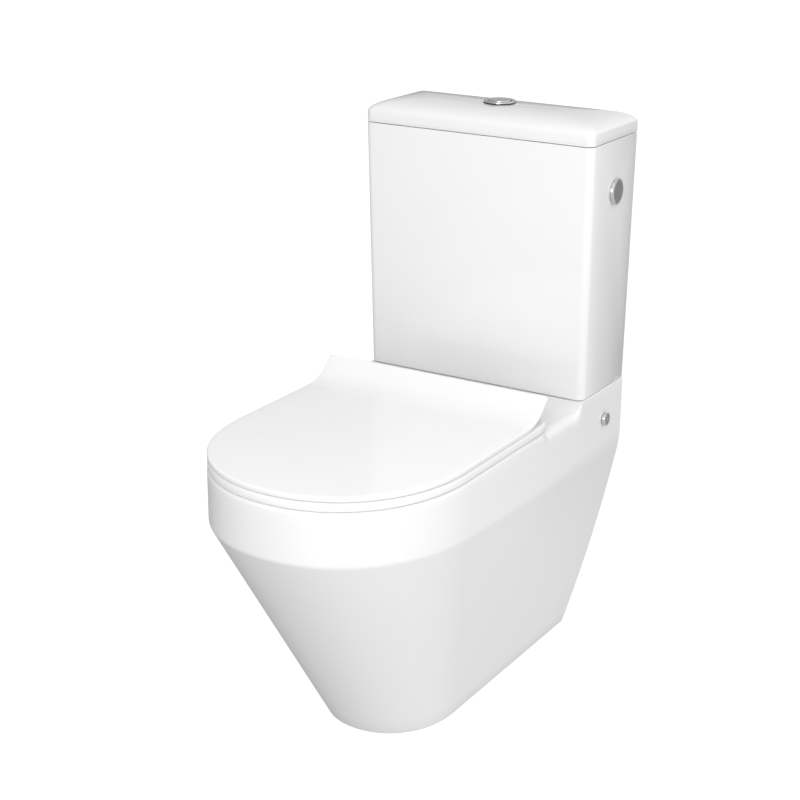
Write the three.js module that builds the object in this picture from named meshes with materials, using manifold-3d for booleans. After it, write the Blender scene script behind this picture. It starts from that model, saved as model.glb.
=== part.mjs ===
// Close coupled toilet: a back-to-wall pan and cistern of glazed china, a slim seat and lid on post hinges,
// a dual flush valve with its push buttons, a side-entry fill valve, and all their seals and fixings.
// Millimetres. X runs across (plus is the user's left when seated), the front faces -Y, Z is up. Inside the
// group the wall is the plane y = 0; the whole is then shifted so that the origin is on the floor, midway
// between the wall and the front of the pan.
import * as THREE from 'three';
import { mergeVertices } from 'three/addons/utils/BufferGeometryUtils.js';
import Module from 'manifold-3d';

const wasm = await Module();
wasm.setup();

// ---- driving dimensions --------------------------------------------------------------------------------
const PROJECTION = 658; // wall to the front of the rim
const GAP = 0.3; // between pieces that touch
const WALL = 12; // thickness of the pan's skirt
const RIM = { half: 176, straight: 461, front: PROJECTION, power: 2.13, top: 411.4 };
const FOOT = { half: 93, straight: 340, front: 450, power: 2.11 };
const CREASE = 336; // height of the edge between the upright rim band and the tapering skirt
const SIDE_BULGE = 0.26; // how far the skirt's sides swell out near the wall
const DECK = { z: 407, under: 395, front: 243, rear: 150 }; // flat behind the bowl, where the hinges stand
const PLATFORM = { z: 420.4, under: 408, front: 138 }; // shelf that carries the cistern
const BOWL = { power: 2.3, wall: 9 };
const BOWL_LEVELS = [ // from the sump up: height, half width, centre, half length
  [66, 28, 376, 31], [82, 38, 378, 42], [112, 44, 384, 49], [155, 56, 398, 66], [205, 76, 418, 92],
  [260, 98, 438, 118], [320, 114, 452, 140], [384, 127, 461, 156], [RIM.top, 132, 462, 160],
];
const TRAP = { inner: 35, outer: 44 };
const SPIGOT = { outer: 51, z: 180, end: 36 };
const TANK = {
  bottom: 421.6, top: 782.6, wall: 9, floor: 12, corner: 11,
  half_bottom: 175.4, deep_bottom: 134.5, half_top: 180, deep_top: 144.6,
};
const TANK_LID = { bottom: 783.4, side: 14.6, top: 818, wall: 9, run: 72, curve: 3.4, lip: 8 };
const REAR_CORNER = 2; // the cistern's upright edges against the wall are nearly sharp
const FLUSH = { x: 0, y: -74 }; // axis of the buttons, the flush valve and the pan's water inlet
const INLET = { y: -64, z: 710, hole: 12, end: -194 }; // side holes for the water supply, one on each side
const PLUG = { r: 18.5, face: 183.5, edge: 0.7 }; // chrome disc over the side hole that isn't used
const CISTERN_BOLT = { x: 85, y: -66 };
const PAN_FIXING = { y: -59, z: 373 };
const CAP = { r: 9.6, inner: 8, edge: 0.6, high: 4.4, wall: 1.1 }; // hides the head of a pan fixing screw
const SEAT = { bottom: 412.6, top: 424, rear: 232, hole_half: 112, hole_centre: 455, hole_long: 133 };
const LID = { bottom: 426, top: 432, crest_y: -244, crest_z: 461, thick: 4.8, tail: 12.5, taper: 0.62 };
const HINGE = { x: 78, y: -214, z: 432, knuckle: 7.5, pin: 3, bore: 3.4 };
const BUTTON = { r: 16.1, bottom: 816.3, top: 822.3, split: -3, kerf: 0.35 };
const SPLIT_RODS = { full: 7, half: -9.5 }; // x of the two push rods
const FLOAT = { x: -122, bottom: 560.4, top: 620, link_y: -20, link_top: 726.2 };

// ---- materials -----------------------------------------------------------------------------------------
const material = (color, roughness, metalness = 0) =>
  new THREE.MeshStandardMaterial({ color, roughness, metalness });
const GLAZE = material(0xf4f4f2, 0.08);
const SEAT_WHITE = material(0xf6f6f5, 0.16);
const CHROME = material(0xc9cbcd, 0.1, 1);
const STEEL = material(0x9fa2a4, 0.32, 1);
const VALVE_WHITE = material(0xe6e8e8, 0.45);
const VALVE_BLUE = material(0x3f74a8, 0.45);
const NUT_GREY = material(0x8f9498, 0.5);
const RUBBER = material(0x26272a, 0.85);
const CLEAR_RUBBER = material(0xdfe3e4, 0.6);
const FOAM = material(0x3a3b3d, 0.95);

// ---- solids --------------------------------------------------------------------------------------------
// Turns a closed geometry into a manifold-3d solid: shared corners merged, faces without area dropped.
function solid(geometry) {
  const bare = geometry.index ? geometry.toNonIndexed() : geometry.clone();
  bare.deleteAttribute('normal');
  bare.deleteAttribute('uv');
  const merged = mergeVertices(bare, 1e-4);
  const corners = merged.index.array;
  const triVerts = [];
  for (let i = 0; i < corners.length; i += 3) {
    const [a, b, c] = [corners[i], corners[i + 1], corners[i + 2]];
    if (a !== b && b !== c && c !== a) triVerts.push(a, b, c);
  }
  const made = (order) => new wasm.Manifold(new wasm.Mesh({
    numProp: 3,
    vertProperties: new Float32Array(merged.attributes.position.array),
    triVerts: new Uint32Array(order),
  }));
  const outward = made(triVerts);
  return outward.volume() > 0 ? outward : made(triVerts.reverse());
}

const join = (...solids) => solids.reduce((a, b) => a.add(b));
const cut = (body, ...tools) => tools.reduce((a, b) => a.subtract(b), body);

// The solid's faces as a three.js geometry.
function geometryOf(body) {
  const { vertProperties, triVerts } = body.getMesh();
  const geometry = new THREE.BufferGeometry();
  geometry.setAttribute('position', new THREE.BufferAttribute(new Float32Array(vertProperties), 3));
  geometry.setIndex(new THREE.BufferAttribute(new Uint32Array(triVerts), 1));
  geometry.computeVertexNormals();
  return geometry;
}

// Joins level rings of points (each an array of [x, y, z], all of one length) into a closed skin. Each end is
// a fan of faces about its middle, so the rings stay convex.
function loft(rings) {
  const size = rings[0].length;
  const middle = (ring) => [0, 1, 2].map((k) => ring.reduce((sum, p) => sum + p[k], 0) / size);
  const points = [...rings.flat(), middle(rings[0]), middle(rings.at(-1))];
  const [top, low, high] = [(rings.length - 1) * size, points.length - 2, points.length - 1];
  const faces = [];
  for (let i = 0; i < size; i++) {
    const next = (i + 1) % size;
    for (let start = 0; start < top; start += size) {
      const [a, b] = [start + i, start + next];
      faces.push(a, b, b + size, a, b + size, a + size);
    }
    faces.push(low, next, i, high, top + i, top + next);
  }
  const geometry = new THREE.BufferGeometry();
  geometry.setAttribute('position', new THREE.Float32BufferAttribute(points.flat(), 3));
  geometry.setIndex(faces);
  return solid(geometry);
}

const box = ([x0, y0, z0], [x1, y1, z1]) => solid(
  new THREE.BoxGeometry(x1 - x0, y1 - y0, z1 - z0)
    .translate((x0 + x1) / 2, (y0 + y1) / 2, (z0 + z1) / 2));

// A round bar along X, Y or Z between two stations on that axis; the other two coordinates are its centre.
function bar(axis, r, from, to, [u, v], sides = 16) {
  const geometry = new THREE.CylinderGeometry(r, r, to - from, sides);
  const middle = (from + to) / 2;
  if (axis === 'x') return solid(geometry.rotateZ(Math.PI / 2).translate(middle, u, v));
  if (axis === 'y') return solid(geometry.translate(u, middle, v));
  return solid(geometry.rotateX(Math.PI / 2).translate(u, v, middle));
}

// A turned piece about a vertical axis through (x, y); the profile is a list of [radius, height].
function turned(profile, x = 0, y = 0, sides = 16) {
  const outline = profile.map(([r, z]) => new THREE.Vector2(r, z));
  return solid(new THREE.LatheGeometry(outline, sides).rotateX(Math.PI / 2).translate(x, y, 0));
}

const ringProfile = (inner, outer, low, high) =>
  [[inner, low], [outer, low], [outer, high], [inner, high], [inner, low]];
const washer = (inner, outer, low, high, x, y, sides) =>
  turned(ringProfile(inner, outer, low, high), x, y, sides);

// A flat outline in (y, z) drawn out along X.
function crosswise(profile, x0, x1) {
  const outline = new THREE.Shape(profile.map(([y, z]) => new THREE.Vector2(y, z)));
  const geometry = new THREE.ExtrudeGeometry(outline, { depth: x1 - x0, bevelEnabled: false });
  return solid(geometry.applyMatrix4(new THREE.Matrix4().set(
    0, 0, 1, x0, 1, 0, 0, 0, 0, 1, 0, 0, 0, 0, 0, 1)));
}

// A round passage of one radius along a smooth path.
function swept(path, r, steps, sides) {
  const section = new THREE.Shape().absarc(0, 0, r, 0, 2 * Math.PI);
  return solid(new THREE.ExtrudeGeometry(section, {
    steps, curveSegments: sides, bevelEnabled: false,
    extrudePath: new THREE.CatmullRomCurve3(path.map((p) => new THREE.Vector3(...p)), false, 'centripetal'),
  }));
}

// ---- outlines ------------------------------------------------------------------------------------------
// A D in plan: straight sides from the wall, then a full rounded front. Starts at the rear on the +X side.
function dOutline({ half, straight, front, power }, rear = 0, inset = 0) {
  const w = half - inset;
  const points = [0, 1, 2].map((i) => [w, -(rear + (straight - rear) * (i / 3))]);
  const steps = 20;
  for (let i = 0; i <= steps; i++) {
    const turn = Math.PI * (i / steps);
    const across = Math.sign(Math.cos(turn)) * Math.abs(Math.cos(turn)) ** (2 / power);
    const ahead = Math.sin(turn) ** (2 / power);
    points.push([w * across, -(straight + (front - inset - straight) * ahead)]);
  }
  for (let i = 2; i >= 0; i--) points.push([-w, points[i][1]]);
  return points;
}

function oval(halfWidth, centre, halfLength, power, z, steps = 24) {
  return Array.from({ length: steps }, (_, i) => {
    const turn = 2 * Math.PI * (i / steps);
    const [c, s] = [Math.cos(turn), Math.sin(turn)];
    return [
      halfWidth * Math.sign(c) * Math.abs(c) ** (2 / power),
      -centre + halfLength * Math.sign(s) * Math.abs(s) ** (2 / power), z,
    ];
  });
}

// A box's outline at one height, against the wall: its front corners are rounded, its rear ones nearly sharp.
function roundedBox(half, deep, z, corner, inset = 0) {
  const [w, y0, y1] = [half - inset, -(deep - inset), -inset];
  const [front, back] = [Math.max(corner - inset, REAR_CORNER), REAR_CORNER];
  const corners = [
    [w - back, y1 - back, back, 0], [-w + back, y1 - back, back, 90],
    [-w + front, y0 + front, front, 180], [w - front, y0 + front, front, 270],
  ];
  return corners.flatMap(([x, y, r, from]) => [0, 30, 60, 90].map((step) => {
    const turn = THREE.MathUtils.degToRad(from + step);
    return [x + r * Math.cos(turn), y + r * Math.sin(turn), z];
  }));
}

// ---- the object's tree ---------------------------------------------------------------------------------
const toilet = new THREE.Group();
toilet.position.y = PROJECTION / 2;

function piece(name, body, look, parent = toilet) {
  const mesh = new THREE.Mesh(geometryOf(body), look);
  mesh.name = name;
  parent.add(mesh);
}

function group(x, y, z, parent = toilet) {
  const made = new THREE.Group();
  made.position.set(x, y, z);
  parent.add(made);
  return made;
}

const SIDES = [['left', -1], ['right', 1]];

// ---- pan -----------------------------------------------------------------------------------------------
// One level of the skirt: between the foot and the crease each point runs from its place on the foot's
// outline to its place on the rim's, swelling a little near the wall; above the crease it stands upright.
function skirtRing(z, inset, rear) {
  const foot = dOutline(FOOT, rear, inset);
  const rim = dOutline(RIM, rear, inset);
  const up = Math.min(Math.max(z, 0) / CREASE, 1);
  return rim.map(([x, y], i) => {
    const nearWall = THREE.MathUtils.clamp(1 + y / RIM.straight, 0, 1);
    const share = up + SIDE_BULGE * nearWall * up * (1 - up);
    return [foot[i][0] + (x - foot[i][0]) * share, foot[i][1] + (y - foot[i][1]) * up, z];
  });
}

// The bowl's ovals, grown by the china's thickness for its outside, the lowest and highest moved to suit.
function bowlBody(grow, bottom, top) {
  return loft(BOWL_LEVELS.map(([z, half, centre, long], i) => {
    const height = i === 0 ? bottom : i === BOWL_LEVELS.length - 1 ? top : z;
    return oval(half + grow, centre, long + grow, BOWL.power, height);
  }));
}

function pan() {
  const SUMP = BOWL_LEVELS[0][0];
  const skirt = loft([0, 84, 168, 252, 300, CREASE, PLATFORM.z].map((z) => skirtRing(z, 0, 0)));
  const aboveDeck = crosswise([
    [-PROJECTION - 5, RIM.top], [-DECK.front, RIM.top], [-DECK.front + 6, DECK.z], [-DECK.rear, DECK.z],
    [-DECK.rear + 6, DECK.z + 1.6], [-PLATFORM.front - 1.5, DECK.z + 6], [-PLATFORM.front, PLATFORM.z],
    [-PLATFORM.front, 460], [-PROJECTION - 5, 460],
  ], -200, 200);

  const inside = join(
    loft([-1, 84, 168, 252, 300, CREASE, 372].map((z) => skirtRing(z, WALL, -1))),
    box([-RIM.half + WALL, -236, 340], [RIM.half - WALL, 1, DECK.under]),
    box([-RIM.half + WALL, -126, 390], [RIM.half - WALL, 1, PLATFORM.under]));

  const trapPath = [
    [0, -376, 104], [0, -330, 98], [0, -288, 122], [0, -258, 168], [0, -226, 206],
    [0, -188, 219], [0, -152, 205], [0, -120, 184], [0, -84, SPIGOT.z],
  ];
  const trapEnd = [...trapPath, [0, -SPIGOT.end + 14, SPIGOT.z]];
  const ductY = FLUSH.y; // the flush water drops in here and runs forward to the back of the bowl
  const china = join(
    bowlBody(BOWL.wall, SUMP - BOWL.wall, 390),
    swept(trapPath, TRAP.outer, 12, 7),
    bar('y', SPIGOT.outer, -122, -SPIGOT.end, [0, SPIGOT.z], 24),
    box([-44, -306, 346], [44, ductY, DECK.under + 1]),
    bar('z', 54, 346, PLATFORM.under + 1, [FLUSH.x, ductY], 20));
  const water = join(
    bowlBody(0, SUMP, RIM.top + 1),
    swept(trapEnd, TRAP.inner, 13, 7),
    box([-34, -312, 356], [34, ductY, 386]),
    bar('z', 34, 356, 400, [FLUSH.x, ductY], 20),
    bar('z', 44.5, 395, PLATFORM.z + 1, [FLUSH.x, ductY], 20));

  const holes = SIDES.flatMap(([, side]) => [
    bar('z', 8, DECK.under - 1, DECK.z + 1, [side * HINGE.x, HINGE.y]),
    bar('z', 6, PLATFORM.under - 1, PLATFORM.z + 1, [side * CISTERN_BOLT.x, CISTERN_BOLT.y]),
    side > 0 ? bar('x', 5, 160, 180, [PAN_FIXING.y, PAN_FIXING.z])
      : bar('x', 5, -180, -160, [PAN_FIXING.y, PAN_FIXING.z]),
  ]);
  const hollow = cut(inside, china);
  piece('pan', cut(skirt, aboveDeck, hollow, water, ...holes), GLAZE);
}

// Two brackets on the wall hold the pan: a screw goes in from each side under a chrome cap.
function panFixings() {
  const { y, z } = PAN_FIXING;
  for (const [name, side] of SIDES) {
    const across = (a, b) => (side > 0 ? [a, b] : [-b, -a]);
    const along = (r, a, b, sides) => bar('x', r, ...across(a, b), [y, z], sides);
    const [inner, outer] = across(128, 158);
    const [flangeIn, flangeOut] = across(118, 163);
    piece(`wall_bracket_${name}`, cut(
      join(
        box([inner, y - 17, z - 17], [outer, -1, z + 17]),
        box([flangeIn, -5, z - 26], [flangeOut, 0, z + 26])),
      along(3.9, 136, 159, 12)), STEEL);
    const head = RIM.half + 0.8;
    piece(`pan_screw_${name}`, join(along(3.5, 138, head + 1, 12), along(6.6, head, head + 2.8)), STEEL);
    const top = head + CAP.high;
    piece(`pan_screw_cap_${name}`, cut(
      join(along(CAP.r, head, top - CAP.edge, 24), along(CAP.r - CAP.edge, top - CAP.edge - 0.3, top, 24)),
      along(CAP.inner, head - 1, top - CAP.wall)), CHROME);
  }
}

// ---- cistern -------------------------------------------------------------------------------------------
const tankShare = (z) => (z - TANK.bottom) / (TANK.top - TANK.bottom);
const tankHalf = (z) => TANK.half_bottom + (TANK.half_top - TANK.half_bottom) * tankShare(z);
const tankDeep = (z) => TANK.deep_bottom + (TANK.deep_top - TANK.deep_bottom) * tankShare(z);

function tank() {
  const level = (z, inset) => roundedBox(tankHalf(z), tankDeep(z), z, TANK.corner, inset);
  const floor = TANK.bottom + TANK.floor;
  piece('cistern_tank', cut(
    loft([level(TANK.bottom, 1.5), level(TANK.bottom + 2, 0), level(TANK.top, 0)]),
    loft([level(floor, TANK.wall + 3), level(floor + 8, TANK.wall), level(TANK.top + 1, TANK.wall)]),
    bar('z', 30, TANK.bottom - 1, floor + 1, [FLUSH.x, FLUSH.y], 24),
    ...SIDES.map(([, side]) =>
      bar('z', 6, TANK.bottom - 1, floor + 1, [side * CISTERN_BOLT.x, CISTERN_BOLT.y])),
    bar('x', INLET.hole, -190, 190, [INLET.y, INLET.z])), GLAZE);
}

// The lid stands upright at its edge, then curves over in one sweep to its highest line.
function tankLid() {
  const { bottom, side, top, wall, run, curve, lip } = TANK_LID;
  const level = (z, inset, corner = TANK.corner) =>
    roundedBox(TANK.half_top, TANK.deep_top, z, corner, inset);
  const shoulder = bottom + side;
  const sweep = [[1.6, 16], [5, 22], [11, 30], [20, 40], [34, 52], [52, 66]].map(([inset, corner]) => {
    const share = Math.sqrt(1 - (1 - inset / run) ** curve);
    return level(shoulder + (top - shoulder) * share, inset, corner);
  });
  const dome = loft([level(bottom, 1), level(bottom + 1, 0), level(shoulder, 0), ...sweep]);
  const inner = wall + 2;
  const rim = cut(
    loft([level(bottom - lip, inner), level(bottom + 3, inner)]),
    loft([level(bottom - lip - 1, inner + 5), level(bottom + 4, inner + 5)]));
  const hollow = loft([
    level(bottom - lip - 1, inner), level(shoulder + 2, inner), level(top - wall, inner + 10),
  ]);
  const hole = bar('z', 19, bottom - 4, top + 1, [FLUSH.x, FLUSH.y], 24);
  piece('cistern_lid', cut(join(cut(dome, hollow), rim), hole), GLAZE);
}

function cisternFixings() {
  const { x, y } = CISTERN_BOLT;
  const floor = TANK.bottom + TANK.floor;
  for (const [name, side] of SIDES) {
    const at = [side * x, y];
    const [sealLow, sealHigh] = [floor + GAP, floor + 5];
    piece(`cistern_bolt_seal_${name}`, turned(
      [[4.2, sealLow], [14, sealLow], [12, sealHigh], [4.2, sealHigh], [4.2, sealLow]], ...at), RUBBER);
    const head = sealHigh + GAP;
    piece(`cistern_bolt_${name}`, cut(
      join(bar('z', 3.8, 384, head + 1, at, 12), bar('z', 9, head, head + 4.5, at)),
      box([at[0] - 10, y - 0.9, head + 3], [at[0] + 10, y + 0.9, head + 6])), STEEL);
    const under = PLATFORM.under - GAP;
    piece(`platform_washer_${name}`, washer(4.2, 13, under - 3, under, ...at), RUBBER);
    piece(`cistern_wing_nut_${name}`, wingNut(at, under - 3 - GAP), NUT_GREY);
  }
}

// A hub with a cone foot and two wings, its top at the given height.
function wingNut([x, y], top) {
  const [low, shoulder] = [top - 15, top - 4];
  const hub = turned([[4.2, top], [4.2, low], [6.5, low], [8.5, shoulder], [11, top], [4.2, top]], x, y);
  const wings = join(
    box([x - 16, y - 1.6, low], [x - 5, y + 1.6, shoulder]),
    box([x + 5, y - 1.6, low], [x + 16, y + 1.6, shoulder]));
  return join(hub, wings);
}

// ---- flush buttons, in the cistern lid ------------------------------------------------------------------
function flushButtons() {
  const unit = group(FLUSH.x, FLUSH.y, 0);
  const seat = TANK_LID.top + GAP;
  const floor = 793;
  const rods = [SPLIT_RODS.full, SPLIT_RODS.half];
  piece('button_bezel', cut(
    turned([
      [0, floor - 2], [18.3, floor - 2], [18.3, seat], [23, seat], [23, seat + 1.2], [22, seat + 2.2],
      [18.2, seat + 2.8], [16.7, seat + 2.2], [16.7, floor], [0, floor],
    ], 0, 0, 28),
    ...rods.map((x) => bar('z', 3, floor - 3, floor + 1, [x, 0], 12))), CHROME, unit);
  const nutTop = TANK_LID.top - TANK_LID.wall - GAP;
  piece('button_nut', washer(18.7, 26, nutTop - 9, nutTop, 0, 0, 18), NUT_GREY, unit);

  const { r, bottom, top, split, kerf } = BUTTON;
  const disc = turned(
    [[0, bottom], [r, bottom], [r, top - 1.6], [r - 0.6, top - 0.6], [r - 2, top], [0, top]], 0, 0, 28);
  const halves = {
    full: cut(disc, box([-30, -30, 800], [split + kerf, 30, 830])),
    half: cut(disc, box([split - kerf, -30, 800], [30, 30, 830])),
  };
  for (const [name, x] of Object.entries(SPLIT_RODS)) {
    const rod = bar('z', 2.5, 741.4, bottom + 1, [x, 0], 12);
    piece(`${name}_flush_button`, join(halves[name], rod), CHROME, unit);
    piece(`${name}_button_spring`, coil(x, floor + GAP, bottom - GAP, 4.4, 0.7, 3), STEEL, unit);
  }
}

// A compression spring between two heights, round a vertical line through (x, 0).
function coil(x, low, high, r, wire, turns) {
  const stations = turns * 8;
  const [z0, z1] = [low + wire, high - wire];
  const path = Array.from({ length: stations + 1 }, (_, i) => {
    const turn = 2 * Math.PI * (i / 8);
    return [x + r * Math.cos(turn), r * Math.sin(turn), z0 + (z1 - z0) * (i / stations)];
  });
  return swept(path, wire, stations, 3);
}

// ---- flush valve ---------------------------------------------------------------------------------------
function flushValve() {
  const unit = group(FLUSH.x, FLUSH.y, 0);
  const floor = TANK.bottom + TANK.floor;
  const flange = floor + 3.8;
  piece('flush_valve_washer', washer(28.5, 38, floor + GAP, flange - GAP, 0, 0, 20), RUBBER, unit);

  const tail = turned([
    [24.5, 399], [28, 399], [28, flange], [38, flange], [38, flange + 3.6], [30, flange + 3.6],
    [30, flange + 5.6], [24.5, flange + 5.6], [24.5, 399],
  ], 0, 0, 20);
  const posts = [45, 135, 225, 315].map((angle) => {
    const turn = THREE.MathUtils.degToRad(angle);
    return bar('z', 3, flange + 3, 522, [34.4 * Math.cos(turn), 34.4 * Math.sin(turn)], 10);
  });
  const tower = join(washer(22.6, 37.4, 518, 524, 0, 0, 20), washer(22.6, 25.6, 520, 716, 0, 0, 20));
  const head = cut(
    bar('z', 28, 714, 736, [0, 0], 20),
    bar('z', 19, 713, 718, [0, 0], 20),
    ...Object.values(SPLIT_RODS).map((x) => bar('z', 4.4, 719, 737, [x, 0], 16)));
  const windows = join(box([-30, -9, 698], [30, 9, 711]), box([-9, -30, 698], [9, 30, 711]));
  piece('flush_valve_body', join(tail, ...posts, cut(tower, windows), head), VALVE_WHITE, unit);

  for (const [name, x] of Object.entries(SPLIT_RODS)) {
    piece(`${name}_flush_plunger`, bar('z', 4, 725, 741, [x, 0], 16), VALVE_BLUE, unit);
  }
  const lift = flange + 5.6 + GAP;
  piece('flush_seal', washer(18, 29, lift, lift + 2.6, 0, 0, 20), CLEAR_RUBBER, unit);
  const foot = lift + 2.6 + GAP;
  piece('overflow_tube', turned([
    [18.5, foot], [29.5, foot], [29.5, foot + 2.5], [20.5, foot + 5], [20.5, 690], [18.5, 690], [18.5, foot],
  ], 0, 0, 20), VALVE_BLUE, unit);

  const nutTop = TANK.bottom - GAP;
  piece('flush_valve_nut', washer(29.6, 41, nutTop - 13, nutTop, 0, 0, 12), NUT_GREY, unit);
  piece('coupling_gasket', washer(28.6, 42.5, 395 + GAP, nutTop - 13 - GAP, 0, 0, 20), FOAM, unit);
}

// ---- fill valve, from the left-hand side hole ----------------------------------------------------------
function fillValve() {
  const unit = group(FLOAT.x, INLET.y, 0);
  const z = INLET.z;
  const wallOut = -tankHalf(z) - FLOAT.x;
  const wallIn = wallOut + TANK.wall;
  const along = (r, a, b, sides) => bar('x', r, a, b, [0, z], sides);
  const flange = wallIn + 3.2;
  const [armHalf, pivotY, pivotZ] = [3.4, 8, z + 19];
  const ears = [-1, 1].map((side) => {
    const edges = [side * (armHalf + 1.2), side * (armHalf + 4.2)].sort((a, b) => a - b);
    return box([edges[0], pivotY - 4, z + 8], [edges[1], pivotY + 4, pivotZ + 5]);
  });
  const dischargeX = -31.5;
  piece('fill_valve_body', cut(
    join(along(10, INLET.end - FLOAT.x, flange + 1), along(17, flange, flange + 4), along(13, flange + 3, 10),
      bar('z', 6, 558, z, [0, 0], 16), bar('z', 11, 555, 560, [0, 0]), ...ears),
    along(6.5, INLET.end - FLOAT.x - 1, dischargeX + 2, 16),
    bar('z', 5, z - 14, z, [dischargeX, 0], 16),
    bar('x', 1.9, -12, 12, [pivotY, pivotZ], 12)), VALVE_WHITE, unit);
  piece('fill_valve_cap', join(along(15, 10 + GAP, 20), along(11, 19, 23)), VALVE_BLUE, unit);
  piece('inlet_washer', hollowAlong(10.4, 18, wallIn + GAP, flange - GAP, z), RUBBER, unit);
  piece('inlet_nut', hollowAlong(10.4, 18.5, wallOut - 8.5, wallOut - GAP, z, 6), NUT_GREY, unit);
  piece('discharge_tube', washer(4.5, 6.2, 470, z - 13 - GAP, dischargeX, 0, 16), VALVE_WHITE, unit);

  const { bottom, top, link_y: linkY, link_top: linkTop } = FLOAT;
  piece('fill_float', join(
    cut(turned(ringProfile(7, 23, bottom, top)), turned(ringProfile(9.5, 20.5, bottom - 1, top - 4))),
    bar('z', 2, top - 3, linkTop, [0, linkY], 10)), VALVE_BLUE, unit);
  piece('float_arm', cut(
    join(box([-armHalf, linkY - 5, linkTop + GAP], [armHalf, pivotY + 1, pivotZ + 2.5]),
      bar('x', 4, -armHalf, armHalf, [pivotY, pivotZ], 14)),
    bar('x', 1.9, -9, 9, [pivotY, pivotZ], 12)), VALVE_WHITE, unit);
  piece('float_arm_pin', bar('x', 1.5, -9, 9, [pivotY, pivotZ], 12), STEEL, unit);
}

function hollowAlong(inner, outer, a, b, z, sides = 16) {
  return cut(bar('x', outer, a, b, [0, z], sides), bar('x', inner, a - 1, b + 1, [0, z]));
}

// The unused side hole on the right is closed by a chrome disc, held from inside.
function blankingPlug() {
  const unit = group(0, INLET.y, 0);
  const z = INLET.z;
  const { r, face, edge } = PLUG;
  const back = tankHalf(z + r) + GAP;
  const inner = tankHalf(z - r) - TANK.wall - GAP;
  const along = (radius, a, b, sides) => bar('x', radius, a, b, [0, z], sides);
  piece('blanking_plug', join(
    along(9.5, inner - 16, back + 1), along(r, back, face - edge, 28),
    along(r - edge, face - edge - 1, face, 28)), CHROME, unit);
  piece('blanking_washer', hollowAlong(10, 18, inner - 2.4, inner, z), RUBBER, unit);
  piece('blanking_nut', hollowAlong(10, 18.5, inner - 10.5, inner - 2.4 - GAP, z, 6), NUT_GREY, unit);
}

// ---- seat and lid --------------------------------------------------------------------------------------
const upright = (outline, low, high) =>
  loft([low, high].map((z) => outline.map(([x, y]) => [x, y, z])));
const RING_BUMPERS = [[150, -390], [-150, -390], [122, -572], [-122, -572]];
const LID_BUMPERS = [[137, -500], [-137, -500]];

// The holes that take the hinge pins, through the two lugs whose middles stand at plus and minus x.
const hingeBores = (x) => SIDES.map(([, side]) =>
  bar('x', HINGE.bore, side * x - 8, side * x + 8, [HINGE.y, HINGE.z], 16));

function seatRing() {
  const { bottom, top, rear } = SEAT;
  const rings = [[bottom, 1.2], [bottom + 1.5, 0], [top - 3, 0], [top - 0.8, 1.2], [top, 3.4]]
    .map(([z, inset]) => dOutline(RIM, rear, 0.4 + inset).map(([x, y]) => [x, y, z]));
  const opening = loft([
    oval(SEAT.hole_half + 6, SEAT.hole_centre, SEAT.hole_long + 6, 2.2, bottom - 1),
    oval(SEAT.hole_half, SEAT.hole_centre, SEAT.hole_long, 2.2, bottom + 4),
    oval(SEAT.hole_half, SEAT.hole_centre, SEAT.hole_long, 2.2, top - 4),
    oval(SEAT.hole_half + 6, SEAT.hole_centre, SEAT.hole_long + 6, 2.2, top + 1),
  ]);
  const lugs = SIDES.map(([, side]) => {
    const [a, b] = side > 0 ? [52, 66] : [-66, -52];
    return join(
      bar('x', HINGE.knuckle, a, b, [HINGE.y, HINGE.z]),
      crosswise([
        [-250, 415], [-222, 417], [-212, 425], [-212, 436], [-221, 434.5], [-238, 423.5], [-250, 423.5],
      ], a, b));
  });
  const bores = hingeBores(59);
  const pockets = RING_BUMPERS.map(([x, y]) => bar('z', 8.4, bottom - 1, bottom + 4, [x, y]));
  piece('seat_ring', cut(join(cut(loft(rings), opening), ...lugs), ...bores, ...pockets), SEAT_WHITE);
  RING_BUMPERS.forEach(([x, y], i) =>
    piece(`seat_bumper_${i + 1}`, bar('z', 8, RIM.top + GAP, bottom + 4 - GAP, [x, y]), CLEAR_RUBBER));
}

// The lid is one thin plate: flat over the ring, swept up at the rear to a crest, then folded down and back
// over the hinges.
function seatLid() {
  const { bottom, top, crest_y: crestY, crest_z: crestZ, thick, tail } = LID;
  const over = [
    [-PROJECTION - 5, top], [-304, top], [-290, 433.4], [-278, 436.4], [-268, 441.2], [-259.5, 448],
    [-252, 455.2], [crestY - 3, crestZ - 0.6], [crestY, crestZ],
  ];
  const tailY = HINGE.y + tail;
  const tailZ = crestZ - (tailY - crestY) * 0.466;
  const under = [
    [tailY - 3, tailZ - thick + 0.6], [crestY + 4, crestZ - thick - 2.6], [-247, 450.5],
    [-254, 443.2], [-264, 435.6], [-276, 430.2], [-290, 427.2], [-304, bottom], [-PROJECTION - 5, bottom],
  ];
  const tailHalf = RIM.half - (tailY - crestY) * LID.taper;
  const plan = [...dOutline(RIM, -crestY, 0.2), [-tailHalf, tailY + 1], [tailHalf, tailY + 1]];
  const plate = upright(plan, 420, 470).intersect(crosswise([...over, [tailY, tailZ], ...under], -190, 190));
  const lugs = SIDES.map(([, side]) => {
    const [a, b] = side > 0 ? [90, 104] : [-104, -90];
    return join(
      bar('x', HINGE.knuckle, a, b, [HINGE.y, HINGE.z]),
      crosswise([[-228, 440], [-221, 430], [-208, 430], [-206.8, 441], [-228, 451]], a, b));
  });
  const bores = hingeBores(97);
  const pockets = LID_BUMPERS.map(([x, y]) => bar('z', 6.4, bottom - 1, bottom + 2, [x, y]));
  piece('seat_lid', cut(join(plate, ...lugs), ...bores, ...pockets), SEAT_WHITE);
  LID_BUMPERS.forEach(([x, y], i) =>
    piece(`lid_bumper_${i + 1}`, bar('z', 6, SEAT.top + GAP, bottom + 2 - GAP, [x, y]), CLEAR_RUBBER));
}

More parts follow.
